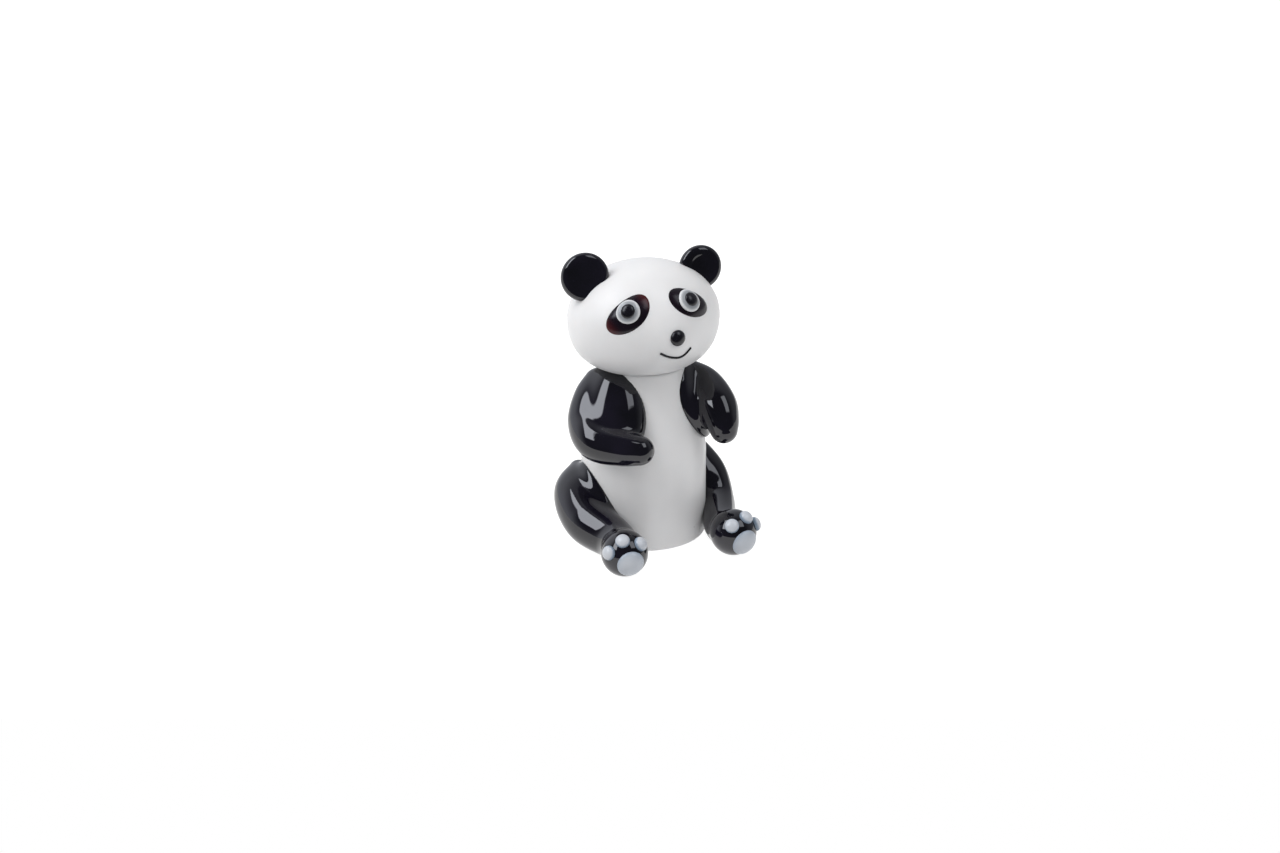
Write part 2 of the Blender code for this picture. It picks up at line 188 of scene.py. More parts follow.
def makeWobble():
    # the slow unevenness that fire-polished glass keeps, as a height
    group, given, height = newGroup("fire polish wobble", ["Vector"], ["Scale"], "Height")
    group.links.new(noise(group, given["Vector"], given["Scale"], 1.0, 0.3)[0], height)
    return group


def makeSpecks():
    # tiny stones and seeds: the cores of a few Voronoi cells, chosen by each cell's own random colour
    group, given, mask = newGroup("specks", ["Vector"], ["Scale", "Rarity"], "Mask")
    full, rim = glassPattern["speckCore"]
    cells = addNode(group, "ShaderNodeTexVoronoi", Vector=given["Vector"], Scale=given["Scale"])
    core = addNode(
        group,
        "ShaderNodeMapRange",
        Value=cells.outputs["Distance"],
        From_Min=full,
        From_Max=rim,
        To_Min=1.0,
        To_Max=0.0,
    )
    lot = addNode(group, "ShaderNodeSeparateColor", Color=cells.outputs["Color"])
    chosen = maths(group, "GREATER_THAN", lot.outputs[0], given["Rarity"])
    group.links.new(maths(group, "MULTIPLY", core.outputs[0], chosen), mask)
    return group


swirlGroup = makeSwirl()
wobbleGroup = makeWobble()
speckGroup = makeSpecks()

# Deep and thin are the two colours of the swirl, and edge is the colour towards a drop's rim: plum at a
# patch's thin ends, a lighter rim on the eye whites, and painted shade round the rims of the pale grey toes
# and pads.
# Inner is the share of light that scatters inside the glass. The wobble is a height in metres.
glassKinds = {
    "black glass": {
        "deep": (0.003, 0.003, 0.005),
        "thin": (0.007, 0.006, 0.012),
        "speck": (0.05, 0.05, 0.06),
        "rarity": 0.985,
        "roughness": (0.025, 0.05),
        "ior": 1.55,
        "wobble": 0.00010,
        "wobbleScale": 170.0,
        "inner": 0.0,
    },
    "soft black glass": {
        "deep": (0.003, 0.003, 0.005),
        "thin": (0.007, 0.006, 0.010),
        "speck": (0.04, 0.04, 0.05),
        "rarity": 0.99,
        "roughness": (0.20, 0.28),
        "ior": 1.45,
        "wobble": 0.00003,
        "wobbleScale": 300.0,
        "inner": 0.0,
    },
    "aubergine glass": {
        "deep": (0.004, 0.003, 0.006),
        "thin": (0.010, 0.005, 0.010),
        "edge": (0.060, 0.008, 0.010),
        "speck": (0.05, 0.04, 0.05),
        "rarity": 0.99,
        "roughness": (0.18, 0.26),
        "ior": 1.36,
        "wobble": 0.00004,
        "wobbleScale": 260.0,
        "inner": 0.0,
    },
    "white glass": {
        "deep": (0.80, 0.80, 0.81),
        "thin": (0.76, 0.76, 0.77),
        "speck": (0.35, 0.34, 0.33),
        "rarity": 0.985,
        "roughness": (0.36, 0.44),
        "ior": 1.5,
        "wobble": 0.00006,
        "wobbleScale": 90.0,
        "inner": 0.25,
        "seeds": ((0.00655, -0.01093, 0.0204), (0.00655, -0.01093, 0.0033)),
    },
    "eye white glass": {
        "deep": (0.33, 0.345, 0.37),
        "thin": (0.27, 0.285, 0.31),
        "edge": (0.68, 0.69, 0.71),
        "speck": (0.4, 0.4, 0.4),
        "rarity": 0.995,
        "roughness": (0.25, 0.32),
        "ior": 1.5,
        "wobble": 0.00003,
        "wobbleScale": 300.0,
        "inner": 0.1,
    },
    "pale grey glass": {
        "deep": (0.50, 0.53, 0.58),
        "thin": (0.56, 0.58, 0.62),
        # painted shade: the toes and pads turn to this darker colour towards their rims
        "edge": (0.21, 0.27, 0.35),
        "speck": (0.3, 0.3, 0.34),
        "rarity": 0.99,
        "roughness": (0.28, 0.36),
        "ior": 1.5,
        "wobble": 0.00004,
        "wobbleScale": 260.0,
        "inner": 0.1,
    },
}


def makeGlass(name):
    # opaque glass: colour mixed by the swirl and the specks, a faint smear in the gloss, the wobble as bump
    kind = glassKinds[name]
    pattern = glassPattern
    material = bpy.data.materials.new(name)
    material.use_nodes = True
    tree = material.node_tree
    shader = tree.nodes["Principled BSDF"]
    place = addNode(tree, "ShaderNodeTexCoord").outputs["Object"]

    def groupNode(group, **inputs):
        return addNode(tree, "ShaderNodeGroup", {"node_tree": group}, Vector=place, **inputs).outputs[0]

    swirl = groupNode(swirlGroup, Scale=pattern["swirlScale"], Twist=pattern["swirlTwist"])
    specks = groupNode(speckGroup, Scale=pattern["speckScale"], Rarity=kind["rarity"])
    wobble = groupNode(wobbleGroup, Scale=kind["wobbleScale"])
    speckColour = (*kind["speck"], 1)
    colour = mixColours(tree, swirl, (*kind["deep"], 1), (*kind["thin"], 1))
    colour = mixColours(tree, specks, colour, speckColour)
    low, high = kind["roughness"]
    smear = addNode(tree, "ShaderNodeMapRange", Value=swirl, To_Min=low, To_Max=high)
    bump = addNode(tree, "ShaderNodeBump", Strength=1.0, Distance=kind["wobble"], Height=wobble)
    if "edge" in kind:  # the mesh's edge share mixes in the edge colour: plum at a patch's thin ends, a lighter eye white rim, painted shade at the rims of the toes and pads
        thin = addNode(
            tree,
            "ShaderNodeMapRange",
            {"interpolation_type": "SMOOTHSTEP"},
            Value=addNode(tree, "ShaderNodeAttribute", {"attribute_name": "edge"}).outputs["Fac"],
            From_Min=pattern["edgeStart"],
            From_Max=pattern["edgeEnd"],
        )
        colour = mixColours(tree, thin.outputs[0], colour, (*kind["edge"], 1))
    for seed in kind.get("seeds", ()):  # single dark seeds in the glass, each at its own place
        core, faded = pattern["seedRadii"]
        dot = addNode(
            tree,
            "ShaderNodeMapRange",
            Value=vectorMaths(tree, "DISTANCE", _0=place, _1=seed)["Value"],
            From_Min=core,
            From_Max=faded,
            To_Min=pattern["seedStrength"],
            To_Max=0.0,
        )
        colour = mixColours(tree, dot.outputs[0], colour, speckColour)
    tree.links.new(colour, shader.inputs["Base Color"])
    tree.links.new(smear.outputs[0], shader.inputs["Roughness"])
    tree.links.new(bump.outputs[0], shader.inputs["Normal"])
    shader.inputs["IOR"].default_value = kind["ior"]
    shader.inputs["Subsurface Weight"].default_value = kind["inner"]
    shader.inputs["Subsurface Radius"].default_value = pattern["scatter"]
    shader.inputs["Subsurface Scale"].default_value = 1.0
    return material


blackGlass = makeGlass("black glass")
softBlackGlass = makeGlass("soft black glass")
aubergineGlass = makeGlass("aubergine glass")
whiteGlass = makeGlass("white glass")
eyeWhiteGlass = makeGlass("eye white glass")
greyGlass = makeGlass("pale grey glass")
print("glasses mixed")


# Torso

torso = {
    "radius": 0.01275,
    "straight": 0.0175,  # height where it starts to draw in
    "height": 0.0365,
    "neck": 0.0086,
    "baseEdge": 0.0008,
    "columns": 160,
    "rows": {"flat": 12, "edge": 8, "side": 72, "top": 8},
}


def torsoRadius(height):
    # straight below, then half a cosine wave in to the neck
    share = np.clip((height - torso["straight"]) / (torso["height"] - torso["straight"]), 0, 1)
    return torso["radius"] + (torso["neck"] - torso["radius"]) * (0.5 - 0.5 * np.cos(np.pi * share))


def torsoProfile():
    # from the middle of the base, round its edge, up the side and in over the top: rows of radius and height
    edge, radius, rows = torso["baseEdge"], torso["radius"], torso["rows"]
    flat = np.linspace(0, radius - edge, rows["flat"])
    turn = np.radians(np.linspace(0, 90, rows["edge"]))[1:]
    side = np.linspace(edge, torso["height"], rows["side"])[1:]
    top = np.linspace(torso["neck"], 0, rows["top"])[1:]
    return np.concatenate(
        [
            np.stack([flat, 0 * flat], -1),
            np.stack([radius - edge + edge * np.sin(turn), edge - edge * np.cos(turn)], -1),
            np.stack([torsoRadius(side), side], -1),
            np.stack([top, np.full(len(top), torso["height"])], -1),
        ]
    )


def torsoSurface(u, v):
    # each row of the profile turned once round the axis
    profile = torsoProfile()
    row = np.round(v * (len(profile) - 1)).astype(int)
    radius, height = profile[row, 0], profile[row, 1]
    around = direction(360 * u, 0)
    return np.stack([around[..., 0] * radius, around[..., 1] * radius, height], -1)


torsoGrid = closedGrid(torsoSurface, torso["columns"], len(torsoProfile()) - 1)
addPiece("torso", *torsoGrid, whiteGlass, "white glass")
print("torso turned")


# Head

head = {
    "width": 0.0312,
    "depth": 0.0264,
    "height": 0.0230,
    "sink": 0.0017,  # how far the head sits down over the neck
    "turn": -3.0,
    "cheeks": 0.22,
    "muzzle": (6.0, -14.0),
    "muzzleReach": 0.0016,
    "muzzleSpread": 0.0042,
    "grid": (224, 140),
}
headMiddle = np.array([0, 0, torso["height"] - head["sink"] + head["height"] / 2])


def headPoint(azimuth, latitude):
    # ellipsoid, fuller by the square of the depth below its widest line, with a bell-shaped muzzle pushed
    # forwards, then turned a little about Z
    way = direction(azimuth, latitude)
    full = 1 + head["cheeks"] * np.minimum(way[..., 2], 0) ** 2
    x = way[..., 0] * full * head["width"] / 2
    y = way[..., 1] * full * head["depth"] / 2
    z = way[..., 2] * head["height"] / 2
    middle = direction(*head["muzzle"])
    across = x - middle[0] * head["width"] / 2
    above = z - middle[2] * head["height"] / 2
    swell = np.exp(-(across**2 + above**2) / (2 * head["muzzleSpread"] ** 2))
    y = y - head["muzzleReach"] * swell * np.maximum(-way[..., 1], 0)
    turn = math.radians(head["turn"])
    aside = x * math.cos(turn) - y * math.sin(turn)
    behind = x * math.sin(turn) + y * math.cos(turn)
    return np.stack([aside, behind, z], -1) + headMiddle


def headSlopes(azimuth, latitude, step=0.5):
    # how far the head's surface runs for one degree east and one degree north, and its normal
    east = (headPoint(azimuth + step, latitude) - headPoint(azimuth - step, latitude)) / (2 * step)
    north = (headPoint(azimuth, latitude + step) - headPoint(azimuth, latitude - step)) / (2 * step)
    return east, north, unit(np.cross(east, north))


def headSurface(u, v):
    return headPoint(360 * u, 180 * v - 90)


addPiece("head", *closedGrid(headSurface, *head["grid"]), whiteGlass, "white glass")
print("head blown up to", [round(1000 * head[k], 1) for k in ("width", "depth", "height")], "mm")


# Ears

ears = {
    "thickness": 0.0024,
    "dish": 0.0003,
    "ripple": 0.00012,  # height of the spiral
    "rippleTurns": 18,  # radians of the spiral from the middle to the rim
    "rippleEnd": 0.75,  # where it has faded out, as a share of the radius
    "right": {"angle": 142.0, "stand": 0.0024, "radius": 0.0049, "facing": (-9.0, 8.0)},
    "left": {"angle": 34.8, "stand": 0.0012, "radius": 0.0045, "facing": (-3.0, 8.0)},
    "columns": 128,
}


def earProfile(radius):
    # disc section from the middle of its back, round the rim, to the middle of its dished front
    half = ears["thickness"] / 2
    flat = radius - half
    back = np.linspace(0, flat, 12)[:-1]
    rim = np.radians(np.linspace(-90, 90, 32))
    front = np.linspace(1, 0, 18)[1:]
    return np.concatenate(
        [
            np.stack([back, np.full(len(back), -half)], -1),
            np.stack([flat + half * np.cos(rim), half * np.sin(rim)], -1),
            np.stack([flat * front, half - ears["dish"] * (1 - front**2)], -1),
        ]
    )


def makeEar(side):
    ear = ears[side]
    angle = math.radians(ear["angle"])
    across, up = math.cos(angle), math.sin(angle)
    toSurface = 1 / math.hypot(2 * across / head["width"], 2 * up / head["height"])
    middle = headMiddle + np.array([across, 0, up]) * (toSurface + ear["stand"])
    out = direction(*ear["facing"])
    level = unit(np.cross([0, 0, 1], out))
    upright = np.cross(out, level)
    profile = earProfile(ear["radius"])

    def surface(u, v):
        # the disc's section turned about the way that the ear faces; its front keeps the faint spiral of the
        # wound glass: a sine wave that fades out towards the rim
        row = np.round(v * (len(profile) - 1)).astype(int)
        radius, lift = profile[row, 0], profile[row, 1]
        a = 2 * np.pi * u
        share = radius / ear["radius"]
        fade = np.where(lift > 0, share * np.clip(1 - share / ears["rippleEnd"], 0, 1), 0)
        lift = lift + ears["ripple"] * fade * np.sin(a + ears["rippleTurns"] * share)
        return (
            middle
            + (radius * np.cos(a))[..., None] * level
            + (radius * np.sin(a))[..., None] * upright
            + lift[..., None] * out
        )

    grid = closedGrid(surface, ears["columns"], len(profile) - 1)
    addPiece("ear_" + side, *grid, blackGlass, "black glass")


for side in ("right", "left"):
    makeEar(side)
print("ears set on")


# Eyes, nose and mouth

face = {
    "patchHeight": 0.0011,
    "patchProud": 0.0006,
    "eyeRadius": 0.0023,
    "eyeHeight": 0.0007,
    "pupilRadius": 0.0013,
    "pupilHeight": 0.0006,
    "right": {
        "patch": (-29.3, 23.6),
        "patchRadii": (0.0057, 0.0035),
        "slant": 45.0,
        "plum": 1.0,  # how far the patch's ends turn to the edge colour
        "eye": (-29.6, 25.8),
    },
    "left": {
        "patch": (25.2, 29.4),
        "patchRadii": (0.0053, 0.0033),
        "slant": -32.0,
        "plum": 0.3,
        "eye": (24.1, 30.5),
    },
    "nose": (7.2, -0.6),
    "noseRadius": 0.0016,
    "noseHeight": 0.0009,
    "mouth": ((-6.2, -15.0), (-0.5, -19.3), (5.6, -22.0), (10.0, -22.6), (14.2, -20.6), (19.6, -14.2)),
    "mouthRadius": 0.00026,
    "mouthEnds": 0.03,  # share of the half length that the round ends take
    "patchGrid": (96, 48),
    "eyeGrid": (96, 40),
    "pupilGrid": (64, 32),
    "noseGrid": (64, 36),
    "mouthGrid": (16, 240),
}


def dropOnHead(radii, place, slant, lift):
    # a flattened sphere laid along the head: its two long axes run as azimuth and latitude, its short one as
    # the normal
    east, north, _ = headSlopes(*place)
    eastLength, northLength = np.linalg.norm(east), np.linalg.norm(north)

    def surface(u, v):
        turn, tilt = 2 * np.pi * u, np.pi * (v - 0.5)
        a = radii[0] * np.cos(tilt) * np.cos(turn)
        b = radii[1] * np.cos(tilt) * np.sin(turn)
        c = radii[2] * np.sin(tilt)
        s = math.radians(slant)
        azimuth = place[0] + (a * math.cos(s) - b * math.sin(s)) / eastLength
        latitude = place[1] + (a * math.sin(s) + b * math.cos(s)) / northLength
        return headPoint(azimuth, latitude) + headSlopes(azimuth, latitude)[2] * (c + lift)[..., None]

    return surface


def patchEnds(u, v):
    # how near the ends of a patch's long axis: squares of the shares along it and out to the rim
    return (np.cos(np.pi * (v - 0.5)) * np.cos(2 * np.pi * u)) ** 2


def dropRim(u, v):
    # the share out from a drop's middle to its rim, to the fourth power
    return np.cos(np.pi * (v - 0.5)) ** 4 + 0 * u


def makeEye(side):
    eye = face[side]
    patchLift = face["patchProud"] - face["patchHeight"]
    patch = dropOnHead((*eye["patchRadii"], face["patchHeight"]), eye["patch"], eye["slant"], patchLift)
    grid = closedGrid(patch, *face["patchGrid"])
    ends = {"edge": onGrid(patchEnds, *face["patchGrid"]) * eye["plum"]}
    addPiece("eye_patch_" + side, *grid, aubergineGlass, "aubergine glass", ends)
    radius = face["eyeRadius"]
    white = dropOnHead((radius, radius, face["eyeHeight"]), eye["eye"], 0, face["patchProud"])
    grid = closedGrid(white, *face["eyeGrid"])
    rim = {"edge": onGrid(dropRim, *face["eyeGrid"])}
    addPiece("eye_white_" + side, *grid, eyeWhiteGlass, "eye white glass", rim)
    radius = face["pupilRadius"]
    pupilLift = face["patchProud"] + face["eyeHeight"]
    pupil = dropOnHead((radius, radius, face["pupilHeight"]), eye["eye"], 0, pupilLift)
    addPiece("pupil_" + side, *closedGrid(pupil, *face["pupilGrid"]), softBlackGlass, "black glass")


def mouthSurface(u, v):
    # a round section carried along the smile; near each end its radius follows a quarter circle
    count = face["mouthGrid"][1]
    path = smoothRows(face["mouth"], count)
    row = np.round(v * count).astype(int)
    line = headPoint(path[:, 0], path[:, 1])
    along = unit(np.gradient(line, axis=0))
    normal = headSlopes(path[:, 0], path[:, 1])[2]
    beside = np.cross(normal, along)
    share = np.linspace(-1, 1, count + 1)
    end = np.clip((np.abs(share) - 1 + face["mouthEnds"]) / face["mouthEnds"], 0, 1)
    radius = face["mouthRadius"] * np.sqrt(1 - end**2)
    a = -2 * np.pi * u
    return (
        line[row]
        + (radius[row] * np.cos(a))[..., None] * beside[row]
        + (radius[row] * np.sin(a))[..., None] * normal[row]
    )


for side in ("right", "left"):
    makeEye(side)
noseDrop = dropOnHead((face["noseRadius"], face["noseRadius"], face["noseHeight"]), face["nose"], 0, 0)
addPiece("nose", *closedGrid(noseDrop, *face["noseGrid"]), softBlackGlass, "black glass")
addPiece("mouth", *closedGrid(mouthSurface, *face["mouthGrid"]), softBlackGlass, "black glass")
print("face laid on")


# Arms and legs

# Rows: azimuth round the torso, height as a share of the torso's, and as shares of the torso's radius how
# far the limb's middle is out from its side and the limb's own radius. Roots are the lumps where the hot
# glass was pressed on: high is a share of the torso's height, wide and thick are shares of its radius, and
# lean is how far the lump moves to the panda's left and sags for each step that it stands out.
limbs = {
    "arm_right": {
        "rows": (
            (-93.0, 0.915, 0.0784, 0.2118),
            (-86.0, 0.843, 0.2118, 0.251),
            (-76.0, 0.735, 0.2745, 0.298),
            (-60.0, 0.668, 0.3294, 0.3137),
            (-40.0, 0.650, 0.3059, 0.2824),
            (-26.0, 0.641, 0.2902, 0.2353),
        ),
        "root": {
            "place": (-57.0, 0.800),
            "wide": 0.4549,
            "high": 0.2521,
            "thick": 0.4863,
            "slant": 32.0,
            "lean": (-0.2, 0.42),
        },
        "blend": 0.0020,
    },
    "arm_left": {
        "rows": (
            (82.0, 0.906, -0.0235, 0.2431),
            (70.0, 0.855, 0.2275, 0.2902),
            (54.0, 0.782, 0.3843, 0.3216),
            (46.0, 0.718, 0.4706, 0.2667),
            (43.6, 0.670, 0.4784, 0.2196),
        ),
        "root": {
            "place": (67.0, 0.790),
            "wide": 0.5333,
            "high": 0.2192,
            "thick": 0.1725,
            "slant": -16.0,
            "lean": (0.0, 0.8),
        },
        "blend": 0.0030,
    },
    "leg_right": {
        "rows": (
            (-110.0, 0.352, 0.0314, 0.1804),
            (-93.3, 0.267, 0.1569, 0.3373),
            (-69.3, 0.174, 0.2275, 0.3765),
            (-42.7, 0.129, 0.3765, 0.3294),
        ),
        "root": {
            "place": (-77.5, 0.226),
            "wide": 0.4157,
            "high": 0.2466,
            "thick": 0.1725,
            "slant": 38.0,
            "lean": (0.0, 0.0),
        },
        "blend": 0.0026,
        "foot": "right",
    },
    "leg_left": {
        "rows": (
            (108.3, 0.403, 0.0471, 0.2039),
            (91.0, 0.270, 0.1647, 0.2745),
            (74.0, 0.140, 0.2039, 0.2745),
            (40.0, 0.104, 0.3922, 0.2706),
        ),
        "root": {
            "place": (95.0, 0.250),
            "wide": 0.3529,
            "high": 0.1918,
            "thick": 0.2196,
            "slant": -30.0,
            "lean": (0.0, 0.0),
        },
        "blend": 0.0026,
        "foot": "left",
    },
    "ankle": 0.79,  # of the foot ball's radius
    "footRadius": 0.0047,
    "ankleBlend": 0.0014,
    "fused": 0.0003,  # how deep a limb's glass sits in the torso
    "cell": 0.00032,  # width of a cell of the skin
    "pathSteps": 160,
    "coarseStep": 5,  # every so many points of the path do for the first passes
    "evening": (6, 0.7),  # passes, and how far each vertex goes to its neighbours' middle
    "lastPasses": 3,
}
feet = {
    "padRadius": 0.0029,
    "padHeight": 0.0007,
    "toeRadius": 0.00145,
    "toeHeight": 0.0011,
    "padGrid": (96, 40),
    "toeGrid": (64, 32),
    "padEdge": (0.3, 0.3),  # share of the edge colour in a pad's middle, which darkens the whole pad, and how much more painted shade its rim takes
    "right": {
        "azimuth": -32.1,
        "reach": 0.8549,
        "pad": (-5.3, -9.5),
        "toes": ((-66.9, 18.1), (-30.8, 53.4), (34.0, 37.3)),
    },
    "left": {
        "azimuth": 31.1,
        "reach": 0.7529,
        "pad": (10.5, -12.0),
        "toes": ((-29.5, 38.4), (37.6, 53.3), (73.2, 19.0)),
    },
}


def footMiddle(side):
    flat = direction(feet[side]["azimuth"], 0) * torso["radius"] * (1 + feet[side]["reach"])
    return np.array([flat[0], flat[1], limbs["footRadius"]])


def limbPath(limb):
    # the rows as points beside the torso, each with a radius, and a leg's foot after them, on a smooth curve
    rows = np.array(limb["rows"])
    height = rows[:, 1] * torso["height"]
    flat = direction(rows[:, 0], 0) * (torsoRadius(height) + rows[:, 2] * torso["radius"])[:, None]
    stations = np.column_stack([flat[:, 0], flat[:, 1], height, rows[:, 3] * torso["radius"]])
    if "foot" in limb:
        stations = np.vstack([stations, [*footMiddle(limb["foot"]), limbs["footRadius"] * limbs["ankle"]]])
    return smoothRows(stations, limbs["pathSteps"])


def pathGap(points, path):
    # distance to the nearest stretch of the path, less the limb's radius there
    nearest = np.full(len(points), np.inf)
    for start, end in zip(path[:-1], path[1:]):
        step = end[:3] - start[:3]
        away = points - start[:3]
        share = np.clip(away @ step / (step @ step), 0, 1)
        radius = start[3] + share * (end[3] - start[3])
        nearest = np.minimum(nearest, np.linalg.norm(away - share[:, None] * step, axis=1) - radius)
    return nearest


def eggGap(across, along, out, radii):
    # near distance to an ellipsoid: k (k - 1) / g, with k the point's length in radii and g k's slope
    scaled = np.stack([across / radii[0], along / radii[1], out / radii[2]])
    k = np.linalg.norm(scaled, axis=0)
    g = np.linalg.norm(scaled / np.array(radii)[:, None], axis=0)
    return k * (k - 1) / np.maximum(g, 1e-9)


def rootRadii(root):
    return root["wide"] * torso["radius"], root["high"] * torso["height"], root["thick"] * torso["radius"]


def rootGap(points, root):
    # the pressed lump, an ellipsoid in the torso's own coordinates: round it, up it and out from it
    radius = torsoRadius(points[:, 2])
    azimuth = np.degrees(np.arctan2(points[:, 0], -points[:, 1])) - root["place"][0]
    out = np.hypot(points[:, 0], points[:, 1]) - radius
    aside, sag = root["lean"]
    about = np.radians((azimuth + 180) % 360 - 180) * radius - aside * out
    up = points[:, 2] - root["place"][1] * torso["height"] + sag * out
    s = math.radians(root["slant"])
    across = about * math.cos(s) + up * math.sin(s)
    along = -about * math.sin(s) + up * math.cos(s)
    return eggGap(across, along, out, rootRadii(root))


def fuse(a, b, width):
    # the lesser of two distances, with the corner filled by a cubic where they differ by less than width
    h = np.maximum(width - np.abs(a - b), 0) / width
    return np.minimum(a, b) - h**3 * width / 6


def limbField(limb, path):
    # distance to the limb's glass: path, root and foot fused, less what the torso and the head take
    def field(points):
        gap = fuse(pathGap(points, path), rootGap(points, limb["root"]), limb["blend"])
        if "foot" in limb:
            ball = np.linalg.norm(points - footMiddle(limb["foot"]), axis=1) - limbs["footRadius"]
            gap = fuse(gap, ball, limbs["ankleBlend"])
        inTorso = torsoRadius(points[:, 2]) - np.hypot(points[:, 0], points[:, 1]) - limbs["fused"]
        offHead = (points - headMiddle) / np.array([head["width"], head["depth"], head["height"]]) * 2
        inHead = (1 - np.linalg.norm(offHead, axis=1)) * head["depth"] / 2 - limbs["fused"]
        return np.maximum(gap, np.maximum(inTorso, inHead))

    return field


def drawnTo(field, points, cell, stepShare=0.02, leastSlope=0.25):
    # one step down the field's slope to its zero level: the field over the slope's square, along the slope
    step = cell * stepShare
    rises = [field(points + step * axis) - field(points - step * axis) for axis in np.eye(3)]
    slope = np.stack(rises, -1) / (2 * step)
    square = np.maximum((slope**2).sum(-1, keepdims=True), leastSlope)
    return points - np.clip(field(points)[:, None] / square, -cell, cell) * slope


def skinField(coarse, fine, low, high, cell):
    # A fused limb isn't a grid of two parameters, so it is skinned from its distance field: a vertex in each
    # cell that the surface crosses and a face across each grid edge that it crosses. The vertices are then
    # evened out among their neighbours and drawn down the field's slope to where the distance is nothing.
    counts = np.ceil((high - low) / cell).astype(int) + 1
    axes = [low[k] + cell * np.arange(counts[k]) for k in range(3)]
    corners = np.stack(np.meshgrid(*axes, indexing="ij"), -1)
    inside = coarse(corners.reshape(-1, 3)).reshape(counts) < 0
    tally = sum(
        inside[i : counts[0] - 1 + i, j : counts[1] - 1 + j, k : counts[2] - 1 + k].astype(int)
        for i in (0, 1)
        for j in (0, 1)
        for k in (0, 1)
    )
    crossed = (tally > 0) & (tally < 8)
    number = np.full(crossed.shape, -1)
    number[crossed] = np.arange(crossed.sum())
    points = corners[:-1, :-1, :-1][crossed] + cell / 2
    quads = []
    for axis in range(3):
        turned = (axis, (axis + 1) % 3, (axis + 2) % 3)
        near = np.moveaxis(inside, turned, (0, 1, 2))
        cells = np.moveaxis(number, turned, (0, 1, 2))
        first, second = near[:-1, 1:-1, 1:-1], near[1:, 1:-1, 1:-1]
        around = np.stack([cells[:, :-1, :-1], cells[:, 1:, :-1], cells[:, 1:, 1:], cells[:, :-1, 1:]], -1)
        quads.append(around[first & ~second])
        quads.append(around[~first & second][:, ::-1])
    quads = np.concatenate(quads)
    ends = np.concatenate([quads[:, [0, 1]], quads[:, [1, 2]], quads[:, [2, 3]], quads[:, [3, 0]]])
    weight = np.bincount(ends[:, 0], minlength=len(points))[:, None]
    passes, pull = limbs["evening"]
    for _ in range(passes):
        sums = [np.bincount(ends[:, 0], points[ends[:, 1], k], len(points)) for k in range(3)]
        points = drawnTo(coarse, points + pull * (np.stack(sums, -1) / weight - points), cell)
    for _ in range(limbs["lastPasses"]):
        points = drawnTo(fine, points, cell)
    return points, quads.tolist()


def makeLimb(name, room=0.006, rootRoom=0.001):
    # the cells reach so far past the limb's path and past its root
    limb = limbs[name]
    path = limbPath(limb)
    root = limb["root"]
    azimuth, share = root["place"]
    reach = max(rootRadii(root)) + rootRoom
    middle = direction(azimuth, 0) * torso["radius"] + np.array([0, 0, share * torso["height"]])
    spots = np.vstack([path[:, :3] - room, path[:, :3] + room, middle - reach, middle + reach])
    coarse = limbField(limb, path[:: limbs["coarseStep"]])
    skin = skinField(coarse, limbField(limb, path), spots.min(0), spots.max(0), limbs["cell"])
    piece = addPiece(name, *skin, blackGlass, "black glass")
    smooth = piece.modifiers.new("finer", "SUBSURF")
    smooth.levels = smooth.render_levels = 1
    print(name, "skinned,", len(skin[0]), "points")


for name in ("arm_right", "arm_left", "leg_right", "leg_left"):
    makeLimb(name)


def dropOnFoot(radii, side, place):
    # a flattened sphere bent over the foot's ball: its width becomes an angle from the drop's middle
    out = direction(*place)
    level = unit(np.cross([0, 0, 1], out))
    upright = np.cross(out, level)

    def surface(u, v):
        turn, tilt = 2 * np.pi * u, np.pi * (v - 0.5)
        bend = radii[0] * np.cos(tilt) / limbs["footRadius"]
        way = (
            (np.sin(bend) * np.cos(turn))[..., None] * level
            + (np.sin(bend) * np.sin(turn))[..., None] * upright
            + np.cos(bend)[..., None] * out
        )
        return footMiddle(side) + way * (limbs["footRadius"] + radii[1] * np.sin(tilt))[..., None]

    return surface


# Painted shade: the pale grey pads and toes turn darker towards their rims
padMiddle, padRimShade = feet["padEdge"]
padEdges = {"edge": padMiddle + padRimShade * onGrid(dropRim, *feet["padGrid"])}
toeRimShade = {"edge": onGrid(dropRim, *feet["toeGrid"])}
for side in ("right", "left"):
    pad = dropOnFoot((feet["padRadius"], feet["padHeight"]), side, feet[side]["pad"])
    grid = closedGrid(pad, *feet["padGrid"])
    addPiece("sole_pad_" + side, *grid, greyGlass, "pale grey glass", padEdges)
    for number, place in enumerate(feet[side]["toes"], 1):
        toe = dropOnFoot((feet["toeRadius"], feet["toeHeight"]), side, place)
        grid = closedGrid(toe, *feet["toeGrid"])
        addPiece(f"toe_{side}_{number}", *grid, greyGlass, "pale grey glass", toeRimShade)
print("paws finished")


# Floor, light and camera

# The camera's direction is in degrees round the figurine and above level. Surround, front and fill are
# levels of white.
studio = {
    "azimuth": -23.0,
    "elevation": 22.0,
    "lens": 85.0,
    "sensor": 36,
    "distance": 0.6143,
    "target": 0.0223,
    "shiftSide": -0.0007,
    "table": (1.2, 0.085, 1.6),  # half width, reach to the front and reach behind
    "tableDrop": 0.00002,
    "tableColour": (0.4, 0.4, 0.4, 1),
    "tableRoughness": 0.9,
    "tableGlow": 0.95,
    "tableLight": 0.2,  # how much of the glow lights the figurine from below
    "surround": (1.15, 0.32),  # as the gloss sees it, to the left and to the right
    "surroundTurn": 0.7,  # sine of the angle to each side where it has changed over
    "glossTint": (0.94, 0.97, 1.05, 1),
    "front": 0.07,  # the dark room behind the camera
    "frontCone": (-0.1, 0.5),  # cosines to the camera where the dark begins and where it is full
    "fill": 0.48,
    "panelEdge": 0.04,
    "panelLeast": 0.01,  # the least cosine to its middle at which a panel is drawn
    "boxDistance": 0.9,
    "boxAim": 0.025,  # height that the softboxes are aimed at
}
